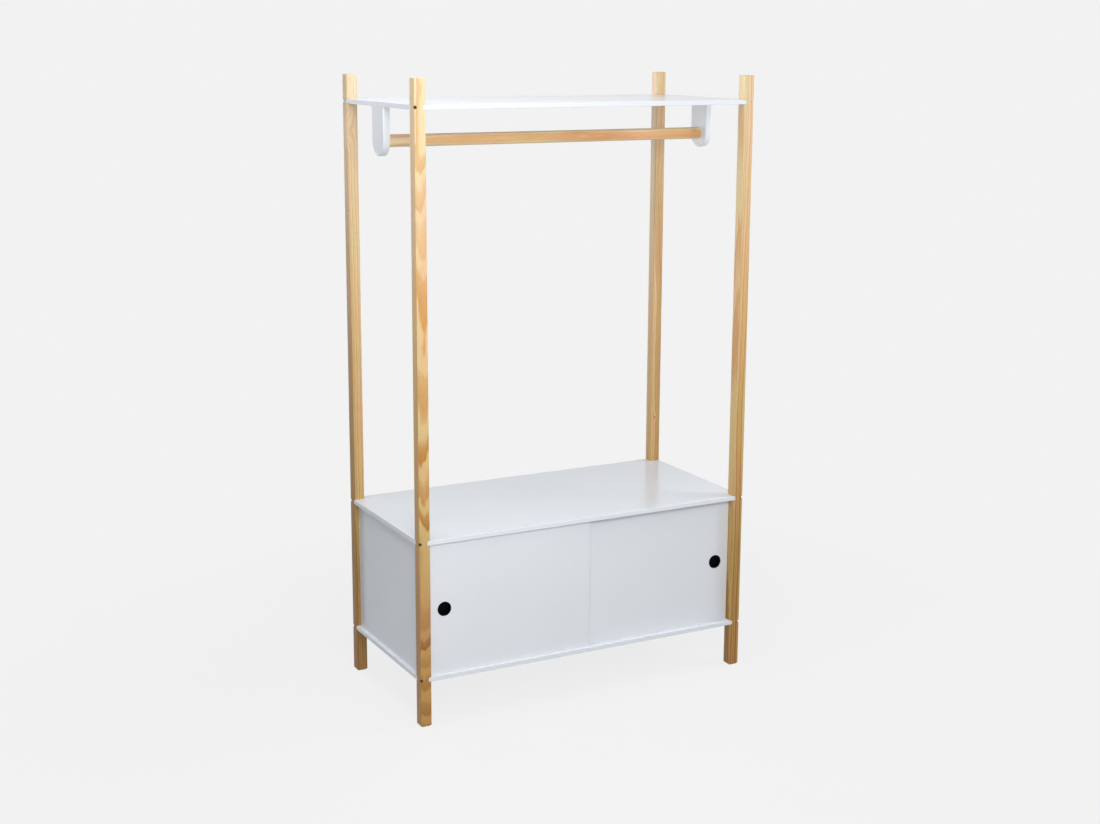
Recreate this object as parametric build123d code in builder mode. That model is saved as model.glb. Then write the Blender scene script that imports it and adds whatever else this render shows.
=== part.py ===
from build123d import *
import math
import os

# Kids wardrobe: four pine posts carry three white boards. The two lower boards and three panels
# make a low cabinet with two sliding doors, and a rail for hangers runs under the top board.
# Millimetres, +Z up. The origin is on the floor under the middle of the wardrobe. The doors face -Y.

os.makedirs("parts", exist_ok=True)

# Overall size, over the posts
width = 800.0
depth = 385.0
height = 1345.0

# Square pine posts
post_side = 24.0
post_edge_radius = 1.5
post_foot_chamfer = 3.0
post_top_chamfer = 1.0

# Shelves of painted board, with clipped corners that sit in slots in the posts
shelf_thickness = 10.0
shelf_setback = 0.5  # shelf edges behind the outer faces of the posts
shelf_edge_radius = 1.0
bottom_shelf_clearance = 98.5  # floor to the underside of the bottom shelf
cabinet_clear_height = 287.0  # between the bottom shelf and the middle shelf
post_overhang = 52.0  # posts above the top shelf
slot_reach = 5.5  # how far a slot cuts into a post's outer face, from its inner edge
slot_play = 0.1  # above and below a shelf in its slots
slot_end_play = 0.3  # between a clipped corner and the end of its slot

# Corner bolts with socket heads sunk in the outer edges of the posts, and their barrel nuts
bolt_diameter = 4.0
bolt_head_diameter = 7.0
bolt_head_height = 4.0
bolt_socket_across = 3.0
bolt_socket_depth = 2.0
bolt_head_bed = 5.0  # wood between a bolt's head and the slot
bolt_play = 0.2  # around a bolt's shank
bolt_head_play = 0.3  # around a bolt's head
nut_diameter = 8.0
nut_height = 8.0
nut_edge_distance = 10.7  # from a shelf's clipped corner to the axis of its nut
nut_play = 0.05
thread_play = 0.05

# Side and back panels of the cabinet, dowelled to the two lower shelves
panel_thickness = 10.0
panel_inset = 10.0  # panel faces behind the outer faces of the posts
panel_play = 0.2  # between a panel and the posts at its ends
dowel_diameter = 6.0
dowel_panel_depth = 13.5
dowel_skin = 3.5  # board left beyond a dowel in a shelf
dowel_play = 0.05
dowel_end_play = 0.3
dowel_end_chamfer = 0.6
side_dowel_pitch = 110.0
back_dowel_pitch = 184.0

# Sliding doors in grooves of the two lower shelves, the left door in the front grooves
door_thickness = 6.0
door_overlap = 16.0  # of the two closed doors
door_recess = 8.0  # front door behind the front edges of the shelves
door_gap = 3.5  # between the two doors
door_end_play = 0.5
door_glide_play = 0.1  # under a door in its bottom groove
door_edge_radius = 1.0
groove_play = 0.5  # on each side of a door
bottom_groove_depth = 3.0
top_groove_depth = 6.5
door_top_engagement = 3.0

# Finger pulls, plastic cups pressed into the doors
pull_flange_diameter = 31.0
pull_flange_thickness = 0.8
pull_flange_round = 0.5
pull_body_diameter = 27.0
pull_wall = 1.2
pull_floor = 1.0
pull_back_gap = 0.4  # between a cup and the back face of its door
pull_play = 0.05
pull_end_distance = 34.5  # from a door's outer end to the middle of its pull
pull_height = 142.5  # middle of a pull above the bottom shelf

# Clothes rail and its two brackets under the top shelf
rail_diameter = 26.0
rail_drop = 70.5  # from the underside of the top shelf to the rail's axis
rail_end_chamfer = 1.0
bracket_thickness = 16.0
bracket_rim = 18.0  # bracket around the rail
bracket_edge_radius = 3.0
socket_depth = 9.0
socket_play = 0.1
socket_end_play = 0.5
screw_diameter = 4.0
screw_head_diameter = 8.0
screw_length = 35.0
screw_pitch = 36.0
screw_play = 0.05
screw_tip_length = 4.0
screw_recess_span = 4.2
screw_recess_width = 1.0
screw_recess_depth = 1.2

# Places of the shelves and of the openings between the posts
half_width = width / 2
half_depth = depth / 2
opening_width = width - 2 * post_side
opening_depth = depth - 2 * post_side
shelf_half_width = half_width - shelf_setback
shelf_half_depth = half_depth - shelf_setback
bottom_shelf_top = bottom_shelf_clearance + shelf_thickness
middle_shelf_underside = bottom_shelf_top + cabinet_clear_height
top_shelf_top = height - post_overhang
top_shelf_underside = top_shelf_top - shelf_thickness
shelf_undersides = {
    "bottom": bottom_shelf_clearance,
    "middle": middle_shelf_underside,
    "top": top_shelf_underside,
}
corners = {
    "front_left": (-1, -1),
    "front_right": (1, -1),
    "back_left": (-1, 1),
    "back_right": (1, 1),
}
sides = {"left": -1, "right": 1}

# Places along a corner's diagonal, from the sharp outer edge of the post inwards
slot_leg = post_side - slot_reach
slot_end = slot_leg / math.sqrt(2)
clipped_corner = slot_end + slot_end_play
head_seat = slot_end - bolt_head_bed
nut_axis = clipped_corner + nut_edge_distance
bolt_tip = nut_axis + nut_diameter / 2
nut_skin = (shelf_thickness - nut_height) / 2

# Places of the panels, doors, pulls, rail and brackets
panel_mid_x = half_width - panel_inset - panel_thickness / 2
panel_mid_y = half_depth - panel_inset - panel_thickness / 2
dowel_shelf_depth = shelf_thickness - dowel_skin
door_width = (opening_width + door_overlap) / 2 - door_end_play
door_foot = bottom_shelf_top - bottom_groove_depth + door_glide_play
door_top = middle_shelf_underside + door_top_engagement
door_mid_x = opening_width / 2 - door_end_play - door_width / 2
front_door_y = -(shelf_half_depth - door_recess - door_thickness / 2)
door_mid_y = {"left": front_door_y, "right": front_door_y + door_thickness + door_gap}
pull_x = opening_width / 2 - door_end_play - pull_end_distance
pull_z = bottom_shelf_top + pull_height
rail_z = top_shelf_underside - rail_drop
bracket_inner_x = shelf_half_width - bracket_thickness
bracket_mid_x = shelf_half_width - bracket_thickness / 2
bracket_round = rail_diameter / 2 + bracket_rim
rail_half_length = bracket_inner_x + socket_depth - socket_end_play


def corner_point(corner, along_x, along_y):
    """The point of the floor plan so far in from a post's outer edge, along X and along Y."""
    side_x, side_y = corner
    return (side_x * (half_width - along_x), side_y * (half_depth - along_y))


def bolt_plane(corner, underside, distance=0.0):
    """The plane square to a corner bolt, so far in from the post's outer edge, facing outwards."""
    side_x, side_y = corner
    step = distance / math.sqrt(2)
    plan_x, plan_y = corner_point(corner, step, step)
    return Plane(origin=(plan_x, plan_y, underside + shelf_thickness / 2), z_dir=(side_x, side_y, 0))


def nut_points():
    """The four points of the floor plan where a shelf has its barrel nuts."""
    step = nut_axis / math.sqrt(2)
    return [corner_point(corner, step, step) for corner in corners.values()]


def side_dowel_points(side):
    """The three points of the floor plan where a side panel has its dowels."""
    return [(side * panel_mid_x, step * side_dowel_pitch) for step in (-1, 0, 1)]


def back_dowel_points():
    """The four points of the floor plan where the back panel has its dowels."""
    return [(step * back_dowel_pitch, panel_mid_y) for step in (-1.5, -0.5, 0.5, 1.5)]


def screw_points(side):
    """The two points of the floor plan where a rail bracket has its screws."""
    return [(side * bracket_mid_x, step * screw_pitch) for step in (-0.5, 0.5)]


def pull_plane(side_name):
    """The plane of a door's front face at the middle of its finger pull, facing forwards."""
    face_y = door_mid_y[side_name] - door_thickness / 2
    return Plane(origin=(sides[side_name] * pull_x, face_y, pull_z), x_dir=(1, 0, 0), z_dir=(0, -1, 0))


all_dowel_points = side_dowel_points(-1) + side_dowel_points(1) + back_dowel_points()

# Posts: square, eased along their edges, chamfered at the foot and slotted for the three shelves
for corner_name, corner in corners.items():
    with BuildPart() as post:
        with BuildSketch(Plane.XY) as post_section:
            with Locations(corner_point(corner, post_side / 2, post_side / 2)):
                Rectangle(post_side, post_side)
        extrude(amount=height)
        chamfer(post.faces().sort_by(Axis.Z)[0].edges(), post_foot_chamfer)
        fillet(post.edges().filter_by(lambda edge: edge.bounding_box().size.Z > 1), post_edge_radius)
        chamfer(post.faces().sort_by(Axis.Z)[-1].edges(), post_top_chamfer)
        for underside in shelf_undersides.values():
            with BuildSketch(Plane.XY.offset(underside - slot_play)) as slot:
                with BuildLine() as slot_outline:
                    Polyline(
                        corner_point(corner, -post_side, slot_leg + post_side),
                        corner_point(corner, slot_leg + post_side, -post_side),
                        corner_point(corner, slot_leg + post_side, slot_leg + post_side),
                        close=True,
                    )
                make_face()
            extrude(amount=shelf_thickness + 2 * slot_play, mode=Mode.SUBTRACT)
            with Locations(bolt_plane(corner, underside)):
                CounterBoreHole(
                    radius=bolt_diameter / 2 + bolt_play,
                    counter_bore_radius=bolt_head_diameter / 2 + bolt_head_play,
                    counter_bore_depth=head_seat,
                    depth=slot_end + bolt_diameter,
                )
    post.part.label = f"post_{corner_name}"
    export_step(post.part, f"parts/{post.part.label}.step")

# Shelves: boards with clipped corners, drilled at each corner for a bolt and from below for its nut.
# The two lower shelves also have the dowel holes of the panels and the grooves of the doors.
clip_leg = clipped_corner * math.sqrt(2) - 2 * shelf_setback
shelf_rooms = {
    "bottom": (bottom_shelf_top, -1, bottom_groove_depth),
    "middle": (middle_shelf_underside, 1, top_groove_depth),
}
for shelf_name, underside in shelf_undersides.items():
    with BuildPart() as shelf:
        with BuildSketch(Plane.XY.offset(underside)) as shelf_section:
            Rectangle(2 * shelf_half_width, 2 * shelf_half_depth)
            chamfer(shelf_section.vertices(), clip_leg)
        extrude(amount=shelf_thickness)
        fillet(shelf.edges().filter_by(Plane.XY), shelf_edge_radius)
        for corner in corners.values():
            with BuildSketch(bolt_plane(corner, underside)) as bolt_hole:
                Circle(bolt_diameter / 2 + bolt_play)
            extrude(amount=-(bolt_tip + bolt_diameter / 2), mode=Mode.SUBTRACT)
        with BuildSketch(Plane.XY.offset(underside)) as nut_holes:
            with Locations(*nut_points()):
                Circle(nut_diameter / 2 + nut_play)
        extrude(amount=shelf_thickness - nut_skin, mode=Mode.SUBTRACT)
        if shelf_name in shelf_rooms:
            room_face, inwards, groove_depth = shelf_rooms[shelf_name]
            with BuildSketch(Plane.XY.offset(room_face)) as dowel_holes:
                with Locations(*all_dowel_points):
                    Circle(dowel_diameter / 2 + dowel_play)
            extrude(amount=inwards * dowel_shelf_depth, mode=Mode.SUBTRACT)
            with BuildSketch(Plane.XY.offset(room_face)) as grooves:
                with Locations(*[(0, mid_y) for mid_y in door_mid_y.values()]):
                    Rectangle(opening_width, door_thickness + 2 * groove_play)
            extrude(amount=inwards * groove_depth, mode=Mode.SUBTRACT)
        else:
            bracket_screw_points = screw_points(-1) + screw_points(1)
            with Locations(*[(plan_x, plan_y, top_shelf_top) for plan_x, plan_y in bracket_screw_points]):
                CounterSinkHole(
                    radius=screw_diameter / 2 + screw_play,
                    counter_sink_radius=screw_head_diameter / 2 + screw_play,
                    depth=shelf_thickness,
                )
    shelf.part.label = f"{shelf_name}_shelf"
    export_step(shelf.part, f"parts/{shelf.part.label}.step")

    # Four corner bolts of this shelf, each with a hexagon socket in its head
    with BuildPart() as bolts:
        for corner in corners.values():
            with BuildSketch(bolt_plane(corner, underside, head_seat)) as bolt_head:
                Circle(bolt_head_diameter / 2)
            extrude(amount=bolt_head_height)
            with BuildSketch(bolt_plane(corner, underside, head_seat)) as bolt_shank:
                Circle(bolt_diameter / 2)
            extrude(amount=-(bolt_tip - head_seat))
            with BuildSketch(bolt_plane(corner, underside, head_seat - bolt_head_height)) as bolt_socket:
                RegularPolygon(bolt_socket_across / 2, 6, major_radius=False)
            extrude(amount=-bolt_socket_depth, mode=Mode.SUBTRACT)
    bolts.part.label = f"{shelf_name}_shelf_bolts"
    export_step(bolts.part, f"parts/{bolts.part.label}.step")

    # Four barrel nuts of this shelf, with the cross hole that its bolts screw into
    with BuildPart() as nuts:
        with BuildSketch(Plane.XY.offset(underside + nut_skin)) as nut_section:
            with Locations(*nut_points()):
                Circle(nut_diameter / 2)
        extrude(amount=nut_height)
        for corner in corners.values():
            with BuildSketch(bolt_plane(corner, underside, nut_axis)) as nut_thread:
                Circle(bolt_diameter / 2 + thread_play)
            extrude(amount=nut_diameter, both=True, mode=Mode.SUBTRACT)
    nuts.part.label = f"{shelf_name}_shelf_barrel_nuts"
    export_step(nuts.part, f"parts/{nuts.part.label}.step")

# Cabinet panels: two sides and a back, standing on the bottom shelf between the posts
side_panel_size = (panel_thickness, opening_depth - 2 * panel_play)
back_panel_size = (opening_width - 2 * panel_play, panel_thickness)
panels = {
    "left_side_panel": ((-panel_mid_x, 0), side_panel_size, side_dowel_points(-1)),
    "right_side_panel": ((panel_mid_x, 0), side_panel_size, side_dowel_points(1)),
    "back_panel": ((0, panel_mid_y), back_panel_size, back_dowel_points()),
}
for panel_name, (panel_middle, panel_size, dowel_points) in panels.items():
    with BuildPart() as panel:
        with BuildSketch(Plane.XY.offset(bottom_shelf_top)) as panel_section:
            with Locations(panel_middle):
                Rectangle(*panel_size)
        extrude(amount=cabinet_clear_height)
        for room_face, inwards in ((bottom_shelf_top, 1), (middle_shelf_underside, -1)):
            with BuildSketch(Plane.XY.offset(room_face)) as panel_dowel_holes:
                with Locations(*dowel_points):
                    Circle(dowel_diameter / 2 + dowel_play)
            extrude(amount=inwards * dowel_panel_depth, mode=Mode.SUBTRACT)
    panel.part.label = panel_name
    export_step(panel.part, f"parts/{panel.part.label}.step")

    # Dowels in the foot and the top of this panel
    with BuildPart() as dowels:
        for room_face, inwards in ((bottom_shelf_top, 1), (middle_shelf_underside, -1)):
            with BuildSketch(Plane.XY.offset(room_face)) as dowel_section:
                with Locations(*dowel_points):
                    Circle(dowel_diameter / 2)
            extrude(amount=inwards * (dowel_panel_depth - dowel_end_play))
            extrude(dowel_section.sketch, amount=-inwards * (dowel_shelf_depth - dowel_end_play))
        chamfer(dowels.edges().filter_by(GeomType.CIRCLE), dowel_end_chamfer)
    dowels.part.label = f"{panel_name}_dowels"
    export_step(dowels.part, f"parts/{dowels.part.label}.step")

# Sliding doors: thin boards with a round hole for the finger pull near the outer end
for side_name, side in sides.items():
    with BuildPart() as door:
        with BuildSketch(Plane.XY.offset(door_foot)) as door_section:
            with Locations((side * door_mid_x, door_mid_y[side_name])):
                Rectangle(door_width, door_thickness)
        extrude(amount=door_top - door_foot)
        fillet(door.edges().filter_by(Axis.Z), door_edge_radius)
        with BuildSketch(pull_plane(side_name)) as pull_hole:
            Circle(pull_body_diameter / 2 + pull_play)
        extrude(amount=-door_thickness, mode=Mode.SUBTRACT)
    door.part.label = f"{side_name}_door"
    export_step(door.part, f"parts/{door.part.label}.step")

    # The finger pull of this door: a blind cup with a flange that lies on the door
    with BuildPart() as pull:
        with BuildSketch(pull_plane(side_name)) as pull_flange:
            Circle(pull_flange_diameter / 2)
        extrude(amount=pull_flange_thickness)
        with BuildSketch(pull_plane(side_name)) as pull_body:
            Circle(pull_body_diameter / 2)
        extrude(amount=-(door_thickness - pull_back_gap))
        with BuildSketch(pull_plane(side_name).offset(pull_flange_thickness)) as pull_bore:
            Circle(pull_body_diameter / 2 - pull_wall)
        cup_depth = pull_flange_thickness + door_thickness - pull_back_gap - pull_floor
        extrude(amount=-cup_depth, mode=Mode.SUBTRACT)
        fillet(pull.faces().sort_by(Axis.Y)[0].edges(), pull_flange_round)
    pull.part.label = f"{side_name}_finger_pull"
    export_step(pull.part, f"parts/{pull.part.label}.step")

# Rail brackets: thick plates with a round lower end and a blind socket for the rail
for side_name, side in sides.items():
    with BuildPart() as bracket:
        with BuildSketch(Plane.YZ.offset(side * bracket_inner_x)) as bracket_section:
            with Locations((0, rail_z + rail_drop / 2)):
                Rectangle(2 * bracket_round, rail_drop)
            with Locations((0, rail_z)):
                Circle(bracket_round)
        extrude(amount=side * bracket_thickness)
        bracket_top = bracket.faces().sort_by(Axis.Z)[-1]
        plate_faces = bracket.faces().filter_by(Axis.X)
        fillet(plate_faces.edges() - bracket_top.edges(), bracket_edge_radius)
        with BuildSketch(Plane.YZ.offset(side * bracket_inner_x)) as rail_socket:
            with Locations((0, rail_z)):
                Circle(rail_diameter / 2 + socket_play)
        extrude(amount=side * socket_depth, mode=Mode.SUBTRACT)
        with BuildSketch(Plane.XY.offset(top_shelf_underside)) as screw_holes:
            with Locations(*screw_points(side)):
                Circle(screw_diameter / 2 + screw_play)
        extrude(amount=-(screw_length - shelf_thickness + screw_play), mode=Mode.SUBTRACT)
    bracket.part.label = f"{side_name}_rail_bracket"
    export_step(bracket.part, f"parts/{bracket.part.label}.step")

    # The bracket's two countersunk screws, with a cross recess, driven down through the top shelf
    screw_head_height = (screw_head_diameter - screw_diameter) / 2
    with BuildPart() as screws:
        for screw_x, screw_y in screw_points(side):
            screw_plane = Plane(origin=(screw_x, screw_y, 0), x_dir=(1, 0, 0), z_dir=(0, -1, 0))
            with BuildSketch(screw_plane) as screw_profile:
                with BuildLine() as screw_outline:
                    Polyline(
                        (0, top_shelf_top),
                        (screw_head_diameter / 2, top_shelf_top),
                        (screw_diameter / 2, top_shelf_top - screw_head_height),
                        (screw_diameter / 2, top_shelf_top - screw_length + screw_tip_length),
                        (0, top_shelf_top - screw_length),
                        close=True,
                    )
                make_face()
            revolve(axis=Axis((screw_x, screw_y, 0), (0, 0, 1)))
        with BuildSketch(Plane.XY.offset(top_shelf_top)) as screw_recess:
            with Locations(*screw_points(side)):
                Rectangle(screw_recess_span, screw_recess_width)
                Rectangle(screw_recess_width, screw_recess_span)
        extrude(amount=-screw_recess_depth, mode=Mode.SUBTRACT)
    screws.part.label = f"{side_name}_bracket_screws"
    export_step(screws.part, f"parts/{screws.part.label}.step")

# Clothes rail: a round pine rod held at both ends in the sockets of the brackets
with BuildPart() as rail:
    with BuildSketch(Plane.YZ.offset(-rail_half_length)) as rail_section:
        with Locations((0, rail_z)):
            Circle(rail_diameter / 2)
    extrude(amount=2 * rail_half_length)
    chamfer(rail.edges().filter_by(GeomType.CIRCLE), rail_end_chamfer)
rail.part.label = "clothes_rail"
export_step(rail.part, f"parts/{rail.part.label}.step")
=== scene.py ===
import math

import bpy
import numpy as np
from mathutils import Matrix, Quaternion, Vector

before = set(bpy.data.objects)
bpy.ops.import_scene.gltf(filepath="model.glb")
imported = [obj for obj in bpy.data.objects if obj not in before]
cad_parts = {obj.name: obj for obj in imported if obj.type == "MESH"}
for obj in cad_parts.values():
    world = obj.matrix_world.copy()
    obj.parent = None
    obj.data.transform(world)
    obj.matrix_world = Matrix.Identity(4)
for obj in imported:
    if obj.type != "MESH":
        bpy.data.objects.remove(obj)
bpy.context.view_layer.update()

# Dresses the kids wardrobe in the order in which it is put together. Lengths are in metres unless
# a comment says mm.
bpy.context.scene.view_settings.view_transform = "Standard"

# Posts: four 24 mm square lengths of planed pine, eased along their edges, each cut from another
# part of the trunk, so that one shows flames on its front and the others long streaks. They are
# slotted for the boards and finished with a thin matt lacquer.


def linear(code):
    """Linear colour of an sRGB hex code, channel by channel: c / 12.92 up to 0.04045, else
    ((c + 0.055) / 1.055) ^ 2.4."""
    channels = [int(code[i:i + 2], 16) / 255 for i in (0, 2, 4)]
    return [c / 12.92 if c <= 0.04045 else ((c + 0.055) / 1.055) ** 2.4 for c in channels] + [1.0]


def add(tree, kind, inputs=None, stops=None, **settings):
    """Adds one node with its settings, fills or links its inputs and lays its ramp's stops."""
    node = tree.nodes.new("ShaderNode" + kind)
    for name, value in settings.items():
        setattr(node, name, value)
    for socket, value in (inputs or {}).items():
        if isinstance(value, bpy.types.NodeSocket):
            tree.links.new(value, node.inputs[socket])
        else:
            node.inputs[socket].default_value = value
    for number, (place, colour) in enumerate(stops or []):
        elements = node.color_ramp.elements
        element = elements[number] if number < 2 else elements.new(place)
        element.position = place
        element.color = colour
    return node


def grey(level):
    """A grey of that level, for the stops of a ramp that is read as a number."""
    return (level, level, level, 1.0)


def new_material(name):
    """An empty node material: returns it, its tree and the socket of its output's surface."""
    material = bpy.data.materials.new(name)
    material.use_nodes = True
    tree = material.node_tree
    tree.nodes.clear()
    return material, tree, add(tree, "OutputMaterial").inputs["Surface"]


def dress(material, *nodes):
    """Puts the material in the slot of each of these nodes of the frame."""
    for node in nodes:
        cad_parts[node].material_slots[0].material = material


POST_HEIGHT = 1345.0  # mm


def pine_and_painted_shade_colours(rows):
    """Stops of a ramp over the height of a post: a height in mm and the wood's colour there, with
    painted shade that darkens it towards the foot. The lowest and the highest come first, because a
    new ramp already has its two end stops."""
    return [(height / POST_HEIGHT, linear(code)) for height, code in rows]


# painted shade: these stops darken both the spring and the summer wood towards the foot
SPRING_WOOD_AND_PAINTED_SHADE = pine_and_painted_shade_colours((
    (60, "CA9E5B"), (POST_HEIGHT, "F3E2C5"), (260, "C9A469"), (480, "DDC08B"), (900, "EACEA3")))
SUMMER_WOOD_AND_PAINTED_SHADE = pine_and_painted_shade_colours((
    (60, "A16D2F"), (POST_HEIGHT, "E7C099"), (260, "A57234"), (480, "C28C4B"), (900, "D9A96C")))
HEARTWOOD = linear("DDD1BD")  # what the heart of the trunk takes from those colours
HEART_FADE = 4.0  # mm, on each side of the heartwood's edge
KNOT_BROWN = linear("6E3F1B")


def planed_pine(name, pith, lean, ring, bow, seed, contrast, tint, wander=4.0, ripple=0.5,
                turn=(0.0, 0.0, 0.0), heart=0.0, knot=None):
    """Planed pine under matt lacquer. Growth rings are shells round the trunk's pith: the distance
    from the pith, which wanders slowly along the trunk, over the ring width gives a saw, pale at
    the start of each ring (spring wood) and darker to its end (summer wood). pith is a point on
    the trunk's axis in metres, lean the trunk's tilt in degrees, bow its sweep in mm over a metre,
    and ring, wander, ripple and heart, the radius of the darker heartwood, are in mm. A knot is
    its middle in metres, then its reach and its dark core in mm."""
    material, tree, surface = new_material(name)
    place = add(tree, "TexCoord").outputs["Object"]
    angles = [math.radians(a + b) for a, b in zip(lean, turn)]
    trunk = add(tree, "Mapping", {"Vector": place, "Location": pith, "Rotation": angles},
                vector_type="TEXTURE").outputs[0]
    along = add(tree, "SeparateXYZ", {0: trunk}).outputs["Z"]
    sweep = add(tree, "Math", {0: along, 1: along}, operation="MULTIPLY").outputs[0]
    sweep = add(tree, "Math", {0: sweep, 1: bow / 1000}, operation="MULTIPLY").outputs[0]
    sweep = add(tree, "CombineXYZ", {"Y": sweep}).outputs[0]
    moved = add(tree, "VectorMath", {0: sweep, 1: trunk}, operation="ADD").outputs[0]
    # the wander bends the trunk over 0.3 m, the ripple wavers each ring over 8 mm across and 60
    # along; a noise strays from its middle by about a quarter, so 4 times that is the full reach
    for scale, reach, squeeze in ((3.2, wander, 1.0), (120.0, ripple, 0.13)):
        squeezed = add(tree, "VectorMath", {0: trunk, 1: (1.0, 1.0, squeeze)},
                       operation="MULTIPLY").outputs[0]
        shifted = add(tree, "VectorMath", {0: squeezed, 1: (seed, seed * 0.7, seed * 1.3)},
                      operation="ADD").outputs[0]
        noise = add(tree, "TexNoise", {"Vector": shifted, "Scale": scale, "Detail": 1.5,
                                       "Roughness": 0.5})
        centred = add(tree, "VectorMath", {0: noise.outputs["Color"], 1: (0.5, 0.5, 0.5)},
                      operation="SUBTRACT").outputs[0]
        step = reach / 1000 * 4
        moved = add(tree, "VectorMath", {0: centred, 1: (step, step, 0.0), 2: moved},
                    operation="MULTIPLY_ADD").outputs[0]
    flat = add(tree, "VectorMath", {0: moved, 1: (1.0, 1.0, 0.0)}, operation="MULTIPLY").outputs[0]
    radius = add(tree, "VectorMath", {0: flat}, operation="LENGTH").outputs["Value"]
    if knot:
        # a knot is 2.2 times as long as it is wide, and pushes the rings aside by half its reach
        middle, reach, dark = knot
        beside = add(tree, "VectorMath", {0: place, 1: middle}, operation="SUBTRACT").outputs[0]
        scaled = add(tree, "VectorMath", {0: beside, 1: (1000.0, 1000.0, 450.0)},
                     operation="MULTIPLY").outputs[0]
        near = add(tree, "VectorMath", {0: scaled}, operation="LENGTH").outputs["Value"]
        bulge = add(tree, "MapRange", {"Value": near, "From Max": reach, "To Min": reach / 1800,
                                       "To Max": 0.0}, interpolation_type="SMOOTHSTEP").outputs[0]
        radius = add(tree, "Math", {0: radius, 1: bulge}, operation="ADD").outputs[0]
        core = add(tree, "MapRange", {"Value": near, "From Min": dark * 0.6, "From Max": dark,
                                      "To Min": 1.0, "To Max": 0.0}).outputs[0]
    # the years' rings are unevenly wide, and no two years' summer wood is equally dark
    rings = add(tree, "Math", {0: radius, 1: 1000 / ring}, operation="MULTIPLY").outputs[0]
    years = add(tree, "TexNoise", {"W": rings, "Scale": 0.37, "Detail": 0.0}, noise_dimensions="1D")
    uneven = add(tree, "Math", {0: years.outputs[0], 1: 1.6, 2: rings},
                 operation="MULTIPLY_ADD").outputs[0]
    saw = add(tree, "Math", {0: uneven}, operation="FRACT").outputs[0]
    year = add(tree, "Math", {0: uneven}, operation="FLOOR").outputs[0]
    chance = add(tree, "TexWhiteNoise", {"W": year}, noise_dimensions="1D").outputs["Value"]
    wood = add(tree, "ValToRGB", {"Fac": saw}, stops=[
        (0.0, grey(0.5)), (1.0, grey(0.6)), (0.05, grey(0.05)), (0.34, grey(0.12)),
        (0.52, grey(0.7)), (0.7, grey(0.82)), (0.93, grey(1.0))]).outputs["Color"]
    strength = add(tree, "MapRange", {"Value": chance, "To Min": 0.4 * contrast,
                                      "To Max": contrast}).outputs[0]
    summer = add(tree, "Math", {0: wood, 1: strength}, operation="MULTIPLY").outputs[0]
    # fibres: streaks 1 mm wide and 60 mm long; resin canals: dark flecks 0.4 mm wide and 10 mm long
    fibre_place = add(tree, "VectorMath", {0: moved, 1: (1.0, 1.0, 0.016)},
                      operation="MULTIPLY").outputs[0]
    fibres = add(tree, "TexNoise", {"Vector": fibre_place, "Scale": 1000.0, "Detail": 3.0,
                                    "Roughness": 0.6}).outputs[0]
    canal_place = add(tree, "VectorMath", {0: trunk, 1: (1.0, 1.0, 0.04)},
                      operation="MULTIPLY").outputs[0]
    canals = add(tree, "TexNoise", {"Vector": canal_place, "Scale": 2500.0,
                                    "Detail": 0.0}).outputs[0]
    canal = add(tree, "MapRange", {"Value": canals, "From Min": 0.72, "From Max": 0.8}).outputs[0]
    # painted shade: the wood's colour is darkened towards the foot and kept pale at the top, over
    # its own grain and tone
    height = add(tree, "SeparateXYZ", {0: place}).outputs["Z"]
    rise = add(tree, "MapRange", {"Value": height, "From Min": 0.0,
                                  "From Max": POST_HEIGHT / 1000}).outputs[0]
    spring_and_painted_shade = add(tree, "ValToRGB", {"Fac": rise}, stops=SPRING_WOOD_AND_PAINTED_SHADE).outputs["Color"]
    autumn_and_painted_shade = add(tree, "ValToRGB", {"Fac": rise}, stops=SUMMER_WOOD_AND_PAINTED_SHADE).outputs["Color"]
    ringed = add(tree, "Mix", {0: summer, 6: spring_and_painted_shade, 7: autumn_and_painted_shade}, data_type="RGBA",
                 clamp_factor=False).outputs[2]
    if heart:
        inner = add(tree, "MapRange", {"Value": radius, "From Min": (heart - HEART_FADE) / 1000,
                                       "From Max": (heart + HEART_FADE) / 1000, "To Min": 1.0,
                                       "To Max": 0.0}).outputs[0]
        aged = add(tree, "VectorMath", {0: ringed, 1: HEARTWOOD[:3]},
                   operation="MULTIPLY").outputs[0]
        ringed = add(tree, "Mix", {0: inner, 6: ringed, 7: aged}, data_type="RGBA").outputs[2]
    if knot:
        ringed = add(tree, "Mix", {0: core, 6: ringed, 7: KNOT_BROWN}, data_type="RGBA").outputs[2]
    # clouds 20 mm wide and 0.2 m long turn the wood a little pinker or greener
    cloud_place = add(tree, "VectorMath", {0: trunk, 1: (1.0, 1.0, 0.1)},
                      operation="MULTIPLY").outputs[0]
    clouds = add(tree, "TexNoise", {"Vector": cloud_place, "Scale": 45.0, "Detail": 1.0}).outputs[0]
    cast = add(tree, "ValToRGB", {"Fac": clouds}, stops=[
        (0.35, linear("FAFFF4")), (0.65, linear("FFF6F8"))]).outputs["Color"]
    ringed = add(tree, "VectorMath", {0: ringed, 1: cast}, operation="MULTIPLY").outputs[0]
    ringed = add(tree, "VectorMath", {0: ringed, 1: linear(tint)[:3]},
                 operation="MULTIPLY").outputs[0]
    streak = add(tree, "MapRange", {"Value": fibres, "From Min": 0.3, "From Max": 0.7,
                                    "To Min": 0.9, "To Max": 1.08}).outputs[0]
    fleck = add(tree, "MapRange", {"Value": canal, "To Min": 1.0, "To Max": 0.72}).outputs[0]
    dim = add(tree, "Math", {0: streak, 1: fleck}, operation="MULTIPLY").outputs[0]
    colour = add(tree, "VectorMath", {0: ringed, "Scale": dim}, operation="SCALE").outputs[0]
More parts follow.
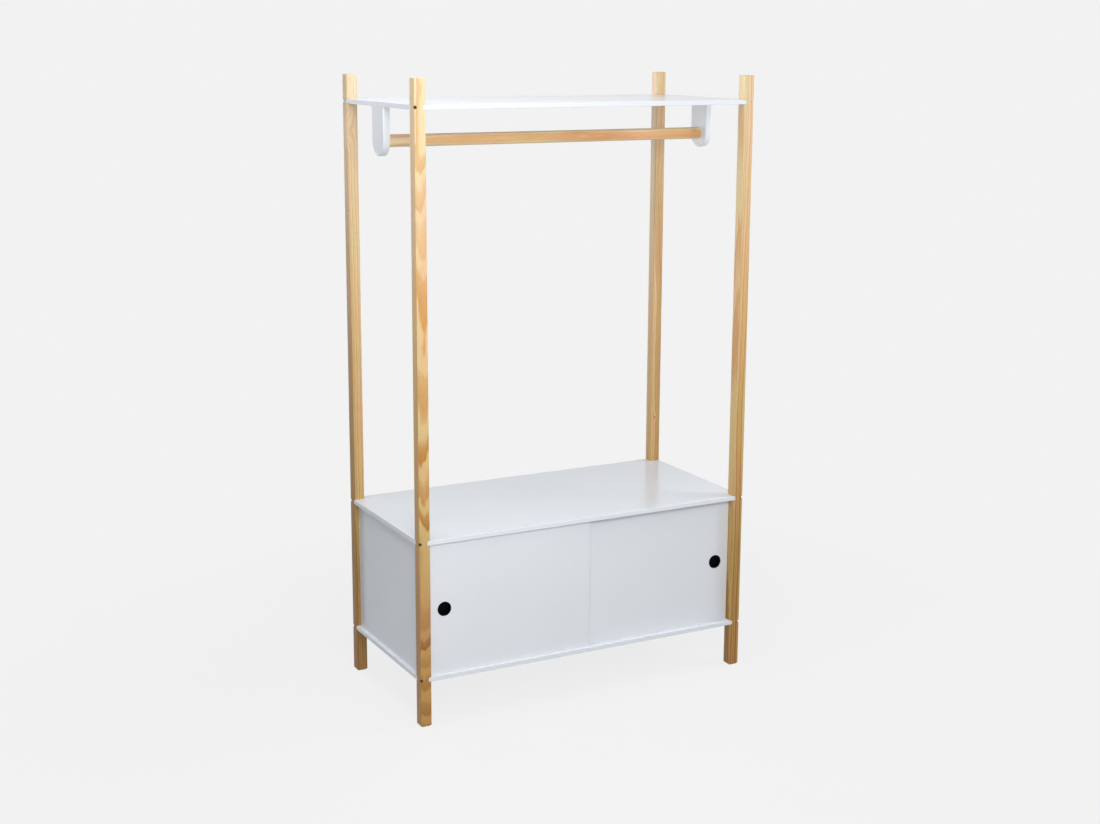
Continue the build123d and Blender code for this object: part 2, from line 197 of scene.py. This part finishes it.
    # the harder summer wood stands a little proud and shines a little more, canals are pits
    relief = add(tree, "Math", {0: summer, 1: 0.6, 2: fibres}, operation="MULTIPLY_ADD").outputs[0]
    pressed = add(tree, "Math", {0: canal, 1: -0.8, 2: relief}, operation="MULTIPLY_ADD").outputs[0]
    bump = add(tree, "Bump", {"Height": pressed, "Strength": 0.5, "Distance": 0.00006}).outputs[0]
    gloss = add(tree, "MapRange", {"Value": summer, "To Min": 0.52, "To Max": 0.42}).outputs[0]
    shader = add(tree, "BsdfPrincipled", {"Base Color": colour, "Roughness": gloss, "IOR": 1.5,
                                          "Normal": bump})
    tree.links.new(shader.outputs[0], surface)
    return material


dress(planed_pine("Planed pine, flamed", (-0.385, -0.132, 0.7), (2.5, 0.2, 0.0), ring=4.5,
                  bow=-25.0, seed=20.0, contrast=1.3, tint="F8F3E7", wander=7.0),
      "post_front_left")
dress(planed_pine("Planed pine, streaked right", (0.430, -0.182, 0.7), (0.3, 0.7, 0.0), ring=5.7,
                  bow=-10.0, seed=18.6, contrast=1.3, tint="F3F1E2", ripple=0.8),
      "post_front_right")
dress(planed_pine("Planed pine, centre streak", (-0.4745, 0.1885, 0.7), (0.46, -0.16, 0.0),
                  ring=4.55, bow=24.0, seed=17.2, contrast=1.2, tint="FAF8F4", wander=4.6,
                  ripple=0.43, heart=79.0, knot=((-0.400, 0.1685, 1.225), 22.0, 0.5)),
      "post_back_left")
dress(planed_pine("Planed pine, slant streaks", (0.4375, 0.105, 0.7), (0.4, -1.2, 0.0), ring=4.0,
                  bow=-5.0, seed=67.5, contrast=1.2, tint="FFFFFF", wander=5.7, ripple=0.6,
                  heart=84.0, knot=((0.386, 0.1685, 0.515), 7.0, 1.6)),
      "post_back_right")

# Boards: 10 mm fibreboard with rounded edges under a white satin paint, which keeps a faint
# orange peel from the spray gun. The bottom board and the cabinet's panels are joined first.


def satin_paint(name, tone, gloss=0.34):
    """White satin paint, sprayed on fibreboard. A slow noise clouds it by about a hundredth, and a
    fine one with a cell of 2 mm is the orange peel that softens its reflections. gloss is its
    middle roughness: the thick boards shine more than the doors."""
    material, tree, surface = new_material(name)
    place = add(tree, "TexCoord").outputs["Object"]
    clouds = add(tree, "TexNoise", {"Vector": place, "Scale": 5.0, "Detail": 3.0}).outputs[0]
    level = add(tree, "MapRange", {"Value": clouds, "From Min": 0.3, "From Max": 0.7,
                                   "To Min": 0.985, "To Max": 1.01}).outputs[0]
    colour = add(tree, "VectorMath", {0: linear(tone)[:3], "Scale": level},
                 operation="SCALE").outputs[0]
    peel = add(tree, "TexNoise", {"Vector": place, "Scale": 480.0, "Detail": 1.0}).outputs[0]
    dust = add(tree, "TexNoise", {"Vector": place, "Scale": 3000.0, "Detail": 0.0}).outputs[0]
    relief = add(tree, "Math", {0: dust, 1: 0.2, 2: peel}, operation="MULTIPLY_ADD").outputs[0]
    bump = add(tree, "Bump", {"Height": relief, "Strength": 0.1, "Distance": 0.00004}).outputs[0]
    rough = add(tree, "MapRange", {"Value": clouds, "From Min": 0.3, "From Max": 0.7,
                                   "To Min": gloss - 0.03, "To Max": gloss + 0.04}).outputs[0]
    shader = add(tree, "BsdfPrincipled", {"Base Color": colour, "Roughness": rough, "IOR": 1.5,
                                          "Normal": bump})
    tree.links.new(shader.outputs[0], surface)
    return material


board_paint = satin_paint("Satin paint on fibreboard", "E6EAEF", gloss=0.21)
dress(board_paint, "bottom_shelf", "middle_shelf", "top_shelf", "left_side_panel",
      "right_side_panel", "back_panel")

# Dowels of the panels: 6 mm beech pins, turned and fluted along their length, glued in both boards.
# Beech is pinkish brown, with short darker flecks where its rays are cut.


def turned_beech(name):
    """Turned beech: fine straight fibres along Z, and flecks 0.5 mm wide and 3 mm long."""
    material, tree, surface = new_material(name)
    place = add(tree, "TexCoord").outputs["Object"]
    fibre_place = add(tree, "VectorMath", {0: place, 1: (1.0, 1.0, 0.05)},
                      operation="MULTIPLY").outputs[0]
    fibres = add(tree, "TexNoise", {"Vector": fibre_place, "Scale": 1500.0,
                                    "Detail": 2.0}).outputs[0]
    fleck_place = add(tree, "VectorMath", {0: place, 1: (1.0, 1.0, 0.17)},
                      operation="MULTIPLY").outputs[0]
    flecks = add(tree, "TexNoise", {"Vector": fleck_place, "Scale": 2000.0,
                                    "Detail": 0.0}).outputs[0]
    colour = add(tree, "ValToRGB", {"Fac": fibres}, stops=[
        (0.3, linear("C79E73")), (0.7, linear("DDB98E"))]).outputs["Color"]
    fleck = add(tree, "MapRange", {"Value": flecks, "From Min": 0.62, "From Max": 0.7}).outputs[0]
    mixed = add(tree, "Mix", {0: fleck, 6: colour, 7: linear("A6764C")},
                data_type="RGBA").outputs[2]
    bump = add(tree, "Bump", {"Height": fibres, "Strength": 0.5, "Distance": 0.00005}).outputs[0]
    shader = add(tree, "BsdfPrincipled", {"Base Color": mixed, "Roughness": 0.6, "Normal": bump})
    tree.links.new(shader.outputs[0], surface)
    return material


dress(turned_beech("Turned beech"), "left_side_panel_dowels", "right_side_panel_dowels",
      "back_panel_dowels")

# Corner bolts: steel with a dark bronze finish, socket heads sunk in the outer edges of the posts.
# Their barrel nuts, like the bracket screws below, are turned steel with bright zinc plate.


def plated_steel(name, dark, light, rough, grain):
    """Steel under a thin finish: a noise with that many cells to the metre mottles its colour and
    its roughness, and gives it the fine unevenness of a tumbled part."""
    material, tree, surface = new_material(name)
    place = add(tree, "TexCoord").outputs["Object"]
    mottle = add(tree, "TexNoise", {"Vector": place, "Scale": grain, "Detail": 3.0}).outputs[0]
    colour = add(tree, "ValToRGB", {"Fac": mottle}, stops=[
        (0.3, linear(dark)), (0.7, linear(light))])
    gloss = add(tree, "MapRange", {"Value": mottle, "From Min": 0.3, "From Max": 0.7,
                                   "To Min": rough - 0.08, "To Max": rough + 0.08}).outputs[0]
    bump = add(tree, "Bump", {"Height": mottle, "Strength": 0.3, "Distance": 0.00003}).outputs[0]
    shader = add(tree, "BsdfPrincipled", {"Base Color": colour.outputs["Color"], "Metallic": 1.0,
                                          "Roughness": gloss, "Normal": bump})
    tree.links.new(shader.outputs[0], surface)
    return material


dress(plated_steel("Steel, bronzed", "54402A", "8A6B45", 0.45, 900.0),
      "bottom_shelf_bolts", "middle_shelf_bolts", "top_shelf_bolts")
zinc = plated_steel("Steel, bright zinc", "A9ABAE", "CDD0D4", 0.3, 600.0)
dress(zinc, "bottom_shelf_barrel_nuts", "middle_shelf_barrel_nuts", "top_shelf_barrel_nuts")

# Sliding doors: 6 mm boards in the same white paint, each with a round hole for its finger pull.
# They slide past each other in the grooves of the two lower boards.
door_paint = satin_paint("Satin paint on thin board", "E6E9ED")
dress(door_paint, "left_door", "right_door")

# Finger pulls: black plastic cups with a thin flange, moulded with a fine spark-eroded grain and
# pressed into the doors.


def moulded_plastic(name, tone):
    """Moulded plastic: a noise with a cell of 0.4 mm is the grain of its mould."""
    material, tree, surface = new_material(name)
    place = add(tree, "TexCoord").outputs["Object"]
    grain = add(tree, "TexNoise", {"Vector": place, "Scale": 2400.0, "Detail": 2.0}).outputs[0]
    clouds = add(tree, "TexNoise", {"Vector": place, "Scale": 60.0, "Detail": 2.0}).outputs[0]
    level = add(tree, "MapRange", {"Value": clouds, "To Min": 0.85, "To Max": 1.15}).outputs[0]
    colour = add(tree, "VectorMath", {0: linear(tone)[:3], "Scale": level},
                 operation="SCALE").outputs[0]
    bump = add(tree, "Bump", {"Height": grain, "Strength": 0.5, "Distance": 0.00003}).outputs[0]
    rough = add(tree, "MapRange", {"Value": grain, "To Min": 0.42, "To Max": 0.58}).outputs[0]
    shader = add(tree, "BsdfPrincipled", {"Base Color": colour, "Roughness": rough, "IOR": 1.46,
                                          "Specular IOR Level": 0.05, "Normal": bump})
    tree.links.new(shader.outputs[0], surface)
    return material


dress(moulded_plastic("Moulded plastic, black", "020203"), "left_finger_pull", "right_finger_pull")

# Rail brackets: 16 mm board with a round lower end and a blind socket for the rail, rounded and
# painted as the shelves are. Two zinc-plated screws come down through the top board into each.
dress(board_paint, "left_rail_bracket", "right_rail_bracket")
dress(zinc, "left_bracket_screws", "right_bracket_screws")

# Clothes rail: a turned pine rod, 26 mm thick, in the same lacquer. Its grain runs along it, with
# long pointed flames on its front, and its ends sit in the brackets' sockets.
dress(planed_pine("Turned pine rod", (0.0392, 0.0577, 1.2136), (-0.04, -0.12, 0.0), ring=5.4,
                  bow=23.0, seed=34.7, contrast=1.6, tint="FFFBF0", wander=3.7, ripple=0.75,
                  turn=(0.0, 90.0, 0.0)),
      "clothes_rail")

# Stage: a round floor in matt pale paint. It fades into the backdrop's grey away from the wardrobe,
# and keeps a soft shadow near it.


def floor_disc(reach, rings_count, spokes):
    """A flat disc as a grid of rings and spokes: x = r cos(t), y = r sin(t), z = 0, with r rising
    as the square of the ring's number, so that the grid is fine in the middle."""
    share = np.linspace(0.0, 1.0, rings_count + 1)[1:] ** 2
    turn = np.linspace(0.0, 2 * np.pi, spokes, endpoint=False)
    radius, angle = np.meshgrid(reach * share, turn, indexing="ij")
    points = np.stack([radius * np.cos(angle), radius * np.sin(angle), np.zeros_like(radius)],
                      axis=-1)
    points = np.concatenate([np.zeros((1, 3)), points.reshape(-1, 3)])
    ring, spoke = np.meshgrid(np.arange(rings_count - 1), np.arange(spokes), indexing="ij")
    beside = (spoke + 1) % spokes
    inner, outer = ring * spokes, (ring + 1) * spokes
    quads = np.stack([inner + spoke, outer + spoke, outer + beside, inner + beside],
                     axis=-1).reshape(-1, 4) + 1
    first = np.arange(spokes)
    fan = np.stack([np.zeros(spokes, int), first + 1, (first + 1) % spokes + 1], axis=-1)
    mesh = bpy.data.meshes.new("floor")
    mesh.from_pydata(points.tolist(), [], quads.tolist() + fan.tolist())
    return mesh


def seen_share(tree):
    """1 for a ray that sees the surface, directly, in a reflection or through glass, and 0 for one
    that only carries its light on: the larger of three flags of the light path."""
    path = add(tree, "LightPath").outputs
    seen = add(tree, "Math", {0: path["Is Camera Ray"], 1: path["Is Glossy Ray"]},
               operation="MAXIMUM").outputs[0]
    return add(tree, "Math", {0: seen, 1: path["Is Transmission Ray"]},
               operation="MAXIMUM").outputs[0]


backdrop_grey = linear("F2F2F2")
floor = bpy.data.objects.new("floor", floor_disc(reach=9.0, rings_count=24, spokes=48))
bpy.context.scene.collection.objects.link(floor)
floor_paint, tree, surface = new_material("Floor, matt pale paint")
place = add(tree, "TexCoord").outputs["Object"]
away = add(tree, "VectorMath", {0: place}, operation="LENGTH").outputs["Value"]
seen = seen_share(tree)
# a tenth of the lit paint shows up to 0.4 m from the middle, and none of it past 1.7 m
fade = add(tree, "MapRange", {"Value": away, "From Min": 0.4, "From Max": 1.7, "To Min": 0.9,
                              "To Max": 1.0}, interpolation_type="SMOOTHSTEP").outputs[0]
plain = add(tree, "Math", {0: fade, 1: seen}, operation="MULTIPLY").outputs[0]
speckle = add(tree, "TexNoise", {"Vector": place, "Scale": 6.0, "Detail": 4.0}).outputs[0]
tone = add(tree, "ValToRGB", {"Fac": speckle}, stops=[
    (0.3, linear("EFEFEF")), (0.7, linear("F4F4F4"))])
# the light that the floor throws back on the wardrobe is that of a darker grey
shown = add(tree, "Mix", {0: seen, 6: linear("B3B3B3"), 7: tone.outputs["Color"]},
            data_type="RGBA").outputs[2]
matt = add(tree, "BsdfDiffuse", {"Color": shown}).outputs[0]
glow = add(tree, "Emission", {"Color": backdrop_grey, "Strength": 1.0}).outputs[0]
mixed = add(tree, "MixShader", {0: plain, 1: matt, 2: glow}).outputs[0]
tree.links.new(mixed, surface)
floor.data.materials.append(floor_paint)

# Backdrop: a pale grey all round, as in a studio. What sees it, directly or in a reflection, sees
# that grey, and as light on the wardrobe it only fills the shadows.
world = bpy.data.worlds.new("Studio")
bpy.context.scene.world = world
world.use_nodes = True
tree = world.node_tree
tree.nodes.clear()
seen = seen_share(tree)
ambient = add(tree, "Background", {"Color": linear("EEF3FA"), "Strength": 0.3}).outputs[0]
backdrop = add(tree, "Background", {"Color": backdrop_grey, "Strength": 1.0}).outputs[0]
mixed = add(tree, "MixShader", {0: seen, 1: ambient, 2: backdrop}).outputs[0]
tree.links.new(mixed, add(tree, "OutputWorld").inputs["Surface"])

# Lamps: five softboxes, one in front of the wardrobe, one above its left end, one beside its right
# end, a weak one low down that reaches under the top board, and one behind it for its back.
for name, spot, aim, side, power in (
        ("softbox_front", (-0.6, -1.9, 1.5), (0.0, 0.0, 1.1), 0.8, 21.0),
        ("softbox_above", (-0.75, -0.3, 2.3), (0.0, 0.0, 0.9), 1.2, 15.6),
        ("softbox_right", (1.6, -0.6, 1.3), (0.0, 0.0, 1.1), 0.9, 13.8),
        ("softbox_low", (-0.9, -1.3, 0.7), (0.3, 0.0, 1.25), 0.6, 3.9),
        ("softbox_back", (-0.5, 2.4, 0.9), (0.0, 0.0, 0.7), 1.0, 12.0),
):
    lamp = bpy.data.lights.new(name, "AREA")
    lamp.shape = "SQUARE"
    lamp.size = side
    lamp.energy = power
    holder = bpy.data.objects.new(name, lamp)
    holder.location = spot
    holder.rotation_mode = "QUATERNION"
    holder.rotation_quaternion = (Vector(aim) - Vector(spot)).to_track_quat("-Z", "Y")
    holder.visible_camera = False
    bpy.context.scene.collection.objects.link(holder)

# Camera: the photograph's viewing angle, from the left of the front, a little above the top board,
# with the middle of the picture a little below the middle of the lens.
camera_azimuth = math.radians(28.0994)
camera_drop = math.radians(11.588)
camera_roll = math.radians(0.2765)
camera_spot = (-1.70637, -3.20531, 1.42114)
camera = bpy.data.cameras.new("camera")
camera.sensor_width = 36.0
camera.lens = 54.372
camera.shift_y = -0.03
viewer = bpy.data.objects.new("camera", camera)
viewer.location = camera_spot
sight = Vector((math.sin(camera_azimuth) * math.cos(camera_drop),
                math.cos(camera_azimuth) * math.cos(camera_drop), -math.sin(camera_drop)))
viewer.rotation_mode = "QUATERNION"
level_view = sight.to_track_quat("-Z", "Y")
viewer.rotation_quaternion = level_view @ Quaternion((0.0, 0.0, 1.0), camera_roll)
bpy.context.scene.collection.objects.link(viewer)
bpy.context.scene.camera = viewer
